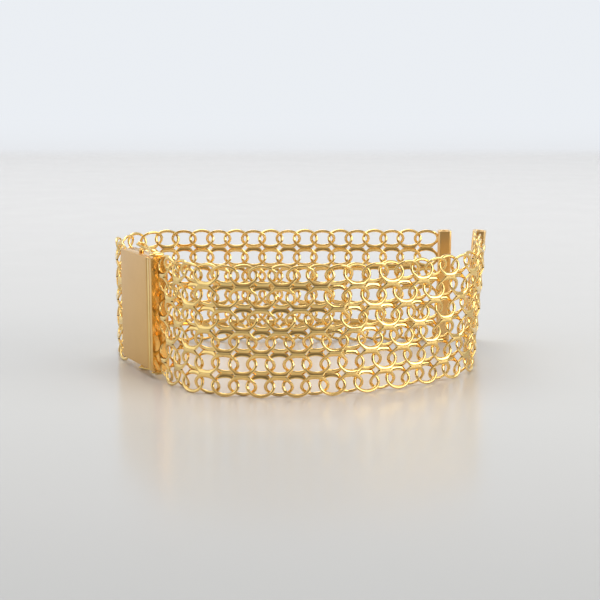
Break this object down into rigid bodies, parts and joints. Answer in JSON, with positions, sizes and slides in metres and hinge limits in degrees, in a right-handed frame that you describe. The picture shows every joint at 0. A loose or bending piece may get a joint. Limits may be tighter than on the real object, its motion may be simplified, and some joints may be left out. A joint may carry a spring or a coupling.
{
  "type": "watch bracelet",
  "caption": "Woven link watch bracelet of interlaced folded ring strips, with a box clasp, two safety catches and an end tube for a spring bar at each watch end.",
  "frame": {"origin": "under the middle of the bracelet, on the surface that it stands on", "axes": "+X along the front of the band, +Y to the back, +Z across the band's width, up as it stands on its edge"},
  "size_m": [0.0642, 0.0424, 0.0209],
  "materials": {
    "mesh_gold": "polished yellow gold, stamped sheet",
    "box_gold": "polished yellow gold",
    "plate_gold": "smooth polished yellow gold plate",
    "spring_gold": "polished yellow gold spring sheet",
    "wire_gold": "polished yellow gold wire",
    "tube_gold": "polished yellow gold tube"
  },
  "bodies": {
    "clasp": {"clasp_base": "box_gold", "clasp_cover": "plate_gold", "back_link_01": "mesh_gold"},
    "tongue": {"tongue_cap": "box_gold", "catch_lugs": "wire_gold", "front_link_01": "mesh_gold"},
    "spring": {"tongue_spring": "spring_gold"},
    "upper_catch": {"upper_catch": "wire_gold"},
    "lower_catch": {"lower_catch": "wire_gold"},
    "front_02": {"front_link_02": "mesh_gold"},
    "front_03": {"front_link_03": "mesh_gold"},
    "front_04": {"front_link_04": "mesh_gold"},
    "front_05": {"front_link_05": "mesh_gold"},
    "front_06": {"front_link_06": "mesh_gold"},
    "front_07": {"front_link_07": "mesh_gold"},
    "front_08": {"front_link_08": "mesh_gold"},
    "front_09": {"front_link_09": "mesh_gold"},
    "front_10": {"front_link_10": "mesh_gold"},
    "front_11": {"front_link_11": "mesh_gold"},
    "front_12": {"front_link_12": "mesh_gold"},
    "front_13": {"front_link_13": "mesh_gold"},
    "front_14": {"front_link_14": "mesh_gold"},
    "front_15": {"front_link_15": "mesh_gold"},
    "front_16": {"front_link_16": "mesh_gold"},
    "front_17": {"front_link_17": "mesh_gold"},
    "front_18": {"front_link_18": "mesh_gold"},
    "front_19": {"front_link_19": "mesh_gold"},
    "front_20": {"front_link_20": "mesh_gold"},
    "front_21": {"front_link_21": "mesh_gold"},
    "front_22": {"front_link_22": "mesh_gold"},
    "front_23": {"front_link_23": "mesh_gold"},
    "front_24": {"front_link_24": "mesh_gold"},
    "front_25": {"front_link_25": "mesh_gold"},
    "front_26": {"front_link_26": "mesh_gold"},
    "front_27": {"front_link_27": "mesh_gold"},
    "front_28": {"front_link_28": "mesh_gold"},
    "front_29": {"front_link_29": "mesh_gold", "front_end_tube": "tube_gold"},
    "back_02": {"back_link_02": "mesh_gold"},
    "back_03": {"back_link_03": "mesh_gold"},
    "back_04": {"back_link_04": "mesh_gold"},
    "back_05": {"back_link_05": "mesh_gold"},
    "back_06": {"back_link_06": "mesh_gold"},
    "back_07": {"back_link_07": "mesh_gold"},
    "back_08": {"back_link_08": "mesh_gold"},
    "back_09": {"back_link_09": "mesh_gold"},
    "back_10": {"back_link_10": "mesh_gold"},
    "back_11": {"back_link_11": "mesh_gold"},
    "back_12": {"back_link_12": "mesh_gold"},
    "back_13": {"back_link_13": "mesh_gold"},
    "back_14": {"back_link_14": "mesh_gold"},
    "back_15": {"back_link_15": "mesh_gold"},
    "back_16": {"back_link_16": "mesh_gold"},
    "back_17": {"back_link_17": "mesh_gold"},
    "back_18": {"back_link_18": "mesh_gold"},
    "back_19": {"back_link_19": "mesh_gold"},
    "back_20": {"back_link_20": "mesh_gold"},
    "back_21": {"back_link_21": "mesh_gold"},
    "back_22": {"back_link_22": "mesh_gold", "back_end_tube": "tube_gold"}
  },
  "joints": [
    {"name": "tongue_slide", "type": "slide", "parent": "clasp", "child": "tongue", "axis": [0.4787, -0.878, 0], "range_m": [0, 0.0105]},
    {"name": "push_bar_press", "type": "hinge", "parent": "tongue", "child": "spring", "pos_m": [-0.02828, 0.00188, 0.01025], "axis": [0, 0, 1], "range_deg": [0, 1.92], "stiffness_Nm_per_rad": 0.5},
    {"name": "upper_catch_hinge", "type": "hinge", "parent": "tongue", "child": "upper_catch", "pos_m": [-0.02323, -0.00776, 0.01962], "axis": [0.878, 0.4787, 0], "range_deg": [-8.5, 100]},
    {"name": "lower_catch_hinge", "type": "hinge", "parent": "tongue", "child": "lower_catch", "pos_m": [-0.02323, -0.00776, 0.00088], "axis": [-0.878, -0.4787, 0], "range_deg": [-4.8, 100]},
    {"name": "front_hinge_01", "type": "hinge", "parent": "tongue", "child": "front_02", "pos_m": [-0.02124, -0.0114, 0.01], "axis": [0, 0, 1], "range_deg": [-28, 3]},
    {"name": "front_hinge_02", "type": "hinge", "parent": "front_02", "child": "front_03", "pos_m": [-0.01985, -0.01366, 0.01], "axis": [0, 0, -1], "range_deg": [-3, 28]},
    {"name": "front_hinge_03", "type": "hinge", "parent": "front_03", "child": "front_04", "pos_m": [-0.01829, -0.01592, 0.01], "axis": [0, 0, 1], "range_deg": [-38.5, 3]},
    {"name": "front_hinge_04", "type": "hinge", "parent": "front_04", "child": "front_05", "pos_m": [-0.01616, -0.01782, 0.01], "axis": [0, 0, -1], "range_deg": [-2.5, 38.5]},
    {"name": "front_hinge_05", "type": "hinge", "parent": "front_05", "child": "front_06", "pos_m": [-0.0136, -0.01914, 0.01001], "axis": [0.0039, 0, 1], "range_deg": [-38.5, 2.5]},
    {"name": "front_hinge_06", "type": "hinge", "parent": "front_06", "child": "front_07", "pos_m": [-0.01083, -0.01982, 0.01002], "axis": [-0.0116, 0, -0.9999], "range_deg": [-2.5, 30]},
    {"name": "front_hinge_07", "type": "hinge", "parent": "front_07", "child": "front_08", "pos_m": [-0.00809, -0.02024, 0.01003], "axis": [0.0194, 0, 0.9998], "range_deg": [-30, 2.5]},
    {"name": "front_hinge_08", "type": "hinge", "parent": "front_08", "child": "front_09", "pos_m": [-0.00532, -0.02043, 0.01004], "axis": [-0.0271, 0, -0.9996], "range_deg": [-2.5, 30]},
    {"name": "front_hinge_09", "type": "hinge", "parent": "front_09", "child": "front_10", "pos_m": [-0.00254, -0.02038, 0.01005], "axis": [0.0349, 0, 0.9994], "range_deg": [-30, 2.5]},
    {"name": "front_hinge_10", "type": "hinge", "parent": "front_10", "child": "front_11", "pos_m": [0.00022, -0.0201, 0.01005], "axis": [-0.0427, 0, -0.9991], "range_deg": [-2.5, 30]},
    {"name": "front_hinge_11", "type": "hinge", "parent": "front_11", "child": "front_12", "pos_m": [0.00295, -0.01958, 0.01006], "axis": [0.0504, 0, 0.9987], "range_deg": [-30, 2.5]},
    {"name": "front_hinge_12", "type": "hinge", "parent": "front_12", "child": "front_13", "pos_m": [0.00565, -0.01883, 0.01007], "axis": [-0.0581, 0, -0.9983], "range_deg": [-2.5, 28]},
    {"name": "front_hinge_13", "type": "hinge", "parent": "front_13", "child": "front_14", "pos_m": [0.00832, -0.01792, 0.01007], "axis": [0.0659, 0, 0.9978], "range_deg": [-28, 2.5]},
    {"name": "front_hinge_14", "type": "hinge", "parent": "front_14", "child": "front_15", "pos_m": [0.0109, -0.01687, 0.01007], "axis": [-0.0698, 0, -0.9976], "range_deg": [-3, 28]},
    {"name": "front_hinge_15", "type": "hinge", "parent": "front_15", "child": "front_16", "pos_m": [0.01337, -0.01566, 0.01007], "axis": [0.0698, 0, 0.9976], "range_deg": [-28, 3]},
    {"name": "front_hinge_16", "type": "hinge", "parent": "front_16", "child": "front_17", "pos_m": [0.01577, -0.01432, 0.01007], "axis": [-0.0698, 0, -0.9976], "range_deg": [-3, 28]},
    {"name": "front_hinge_17", "type": "hinge", "parent": "front_17", "child": "front_18", "pos_m": [0.01809, -0.01285, 0.01007], "axis": [0.0698, 0, 0.9976], "range_deg": [-28, 3]},
    {"name": "front_hinge_18", "type": "hinge", "parent": "front_18", "child": "front_19", "pos_m": [0.02032, -0.01124, 0.01007], "axis": [-0.0698, 0, -0.9976], "range_deg": [-3.5, 28]},
    {"name": "front_hinge_19", "type": "hinge", "parent": "front_19", "child": "front_20", "pos_m": [0.02246, -0.0095, 0.01007], "axis": [0.0698, 0, 0.9976], "range_deg": [-28, 3.5]},
    {"name": "front_hinge_20", "type": "hinge", "parent": "front_20", "child": "front_21", "pos_m": [0.02453, -0.00761, 0.01006], "axis": [-0.0698, 0, -0.9976], "range_deg": [-4, 37]},
    {"name": "front_hinge_21", "type": "hinge", "parent": "front_21", "child": "front_22", "pos_m": [0.02618, -0.0053, 0.01006], "axis": [0.0698, 0, 0.9976], "range_deg": [-37, 4.5]},
    {"name": "front_hinge_22", "type": "hinge", "parent": "front_22", "child": "front_23", "pos_m": [0.02732, -0.00268, 0.01006], "axis": [-0.0698, 0, -0.9976], "range_deg": [-5, 37]},
    {"name": "front_hinge_23", "type": "hinge", "parent": "front_23", "child": "front_24", "pos_m": [0.0279, 0.00011, 0.01006], "axis": [0.0698, 0, 0.9976], "range_deg": [-37, 5.5]},
    {"name": "front_hinge_24", "type": "hinge", "parent": "front_24", "child": "front_25", "pos_m": [0.02788, 0.00308, 0.01007], "axis": [-0.0698, 0, -0.9976], "range_deg": [-6.5, 22.5]},
    {"name": "front_hinge_25", "type": "hinge", "parent": "front_25", "child": "front_26", "pos_m": [0.02799, 0.00618, 0.01007], "axis": [0.0698, 0, 0.9976], "range_deg": [-22.5, 8.5]},
    {"name": "front_hinge_26", "type": "hinge", "parent": "front_26", "child": "front_27", "pos_m": [0.02824, 0.00927, 0.01007], "axis": [-0.0698, 0, -0.9976], "range_deg": [-11, 22.5]},
    {"name": "front_hinge_27", "type": "hinge", "parent": "front_27", "child": "front_28", "pos_m": [0.02862, 0.01235, 0.01007], "axis": [0.0698, 0, 0.9976], "range_deg": [-22.5, 15.5]},
    {"name": "front_hinge_28", "type": "hinge", "parent": "front_28", "child": "front_29", "pos_m": [0.02914, 0.0154, 0.01007], "axis": [-0.0698, 0, -0.9976], "range_deg": [-24, 22.5]},
    {"name": "back_hinge_01", "type": "hinge", "parent": "clasp", "child": "back_02", "pos_m": [-0.03078, 0.00609, 0.01], "axis": [0, 0, 1], "range_deg": [-6.5, 41.5]},
    {"name": "back_hinge_02", "type": "hinge", "parent": "back_02", "child": "back_03", "pos_m": [-0.03139, 0.00903, 0.01], "axis": [0, 0, -1], "range_deg": [-41.5, 8]},
    {"name": "back_hinge_03", "type": "hinge", "parent": "back_03", "child": "back_04", "pos_m": [-0.03112, 0.01202, 0.01], "axis": [0, 0, 1], "range_deg": [-8, 41.5]},
    {"name": "back_hinge_04", "type": "hinge", "parent": "back_04", "child": "back_05", "pos_m": [-0.02999, 0.0148, 0.01], "axis": [0, 0, -1], "range_deg": [-41.5, 8]},
    {"name": "back_hinge_05", "type": "hinge", "parent": "back_05", "child": "back_06", "pos_m": [-0.0281, 0.01713, 0.01], "axis": [0, 0, 1], "range_deg": [-8, 41.5]},
    {"name": "back_hinge_06", "type": "hinge", "parent": "back_06", "child": "back_07", "pos_m": [-0.02562, 0.01881, 0.01], "axis": [0, 0, -1], "range_deg": [-41.5, 8]},
    {"name": "back_hinge_07", "type": "hinge", "parent": "back_07", "child": "back_08", "pos_m": [-0.02275, 0.0197, 0.01], "axis": [0, 0, 1], "range_deg": [-8, 41.5]},
    {"name": "back_hinge_08", "type": "hinge", "parent": "back_08", "child": "back_09", "pos_m": [-0.01972, 0.01971, 0.01], "axis": [0, 0, -1], "range_deg": [-25, 25]},
    {"name": "back_hinge_09", "type": "hinge", "parent": "back_09", "child": "back_10", "pos_m": [-0.01667, 0.01973, 0.01], "axis": [0, 0, 1], "range_deg": [-25, 25]},
    {"name": "back_hinge_10", "type": "hinge", "parent": "back_10", "child": "back_11", "pos_m": [-0.01362, 0.01974, 0.01], "axis": [0, 0, -1], "range_deg": [-25, 25]},
    {"name": "back_hinge_11", "type": "hinge", "parent": "back_11", "child": "back_12", "pos_m": [-0.01057, 0.01976, 0.01], "axis": [0, 0, 1], "range_deg": [-25, 25]},
    {"name": "back_hinge_12", "type": "hinge", "parent": "back_12", "child": "back_13", "pos_m": [-0.00752, 0.01978, 0.01], "axis": [0, 0, -1], "range_deg": [-25, 25]},
    {"name": "back_hinge_13", "type": "hinge", "parent": "back_13", "child": "back_14", "pos_m": [-0.00447, 0.01979, 0.01], "axis": [0, 0, 1], "range_deg": [-25, 25]},
    {"name": "back_hinge_14", "type": "hinge", "parent": "back_14", "child": "back_15", "pos_m": [-0.00143, 0.01981, 0.01], "axis": [0, 0, -1], "range_deg": [-25, 25]},
    {"name": "back_hinge_15", "type": "hinge", "parent": "back_15", "child": "back_16", "pos_m": [0.00162, 0.01982, 0.01], "axis": [0, 0, 1], "range_deg": [-25, 25]},
    {"name": "back_hinge_16", "type": "hinge", "parent": "back_16", "child": "back_17", "pos_m": [0.00468, 0.01984, 0.01], "axis": [0, 0, -1], "range_deg": [-25, 25]},
    {"name": "back_hinge_17", "type": "hinge", "parent": "back_17", "child": "back_18", "pos_m": [0.00772, 0.01986, 0.01], "axis": [0, 0, 1], "range_deg": [-25, 25]},
    {"name": "back_hinge_18", "type": "hinge", "parent": "back_18", "child": "back_19", "pos_m": [0.01077, 0.01987, 0.01], "axis": [0, 0, -1], "range_deg": [-25, 25]},
    {"name": "back_hinge_19", "type": "hinge", "parent": "back_19", "child": "back_20", "pos_m": [0.01382, 0.01989, 0.01], "axis": [0, 0, 1], "range_deg": [-25, 25]},
    {"name": "back_hinge_20", "type": "hinge", "parent": "back_20", "child": "back_21", "pos_m": [0.01687, 0.0199, 0.01], "axis": [0, 0, -1], "range_deg": [-25, 25]},
    {"name": "back_hinge_21", "type": "hinge", "parent": "back_21", "child": "back_22", "pos_m": [0.01992, 0.01992, 0.01], "axis": [0, 0, 1], "range_deg": [-25, 25]}
  ]
}
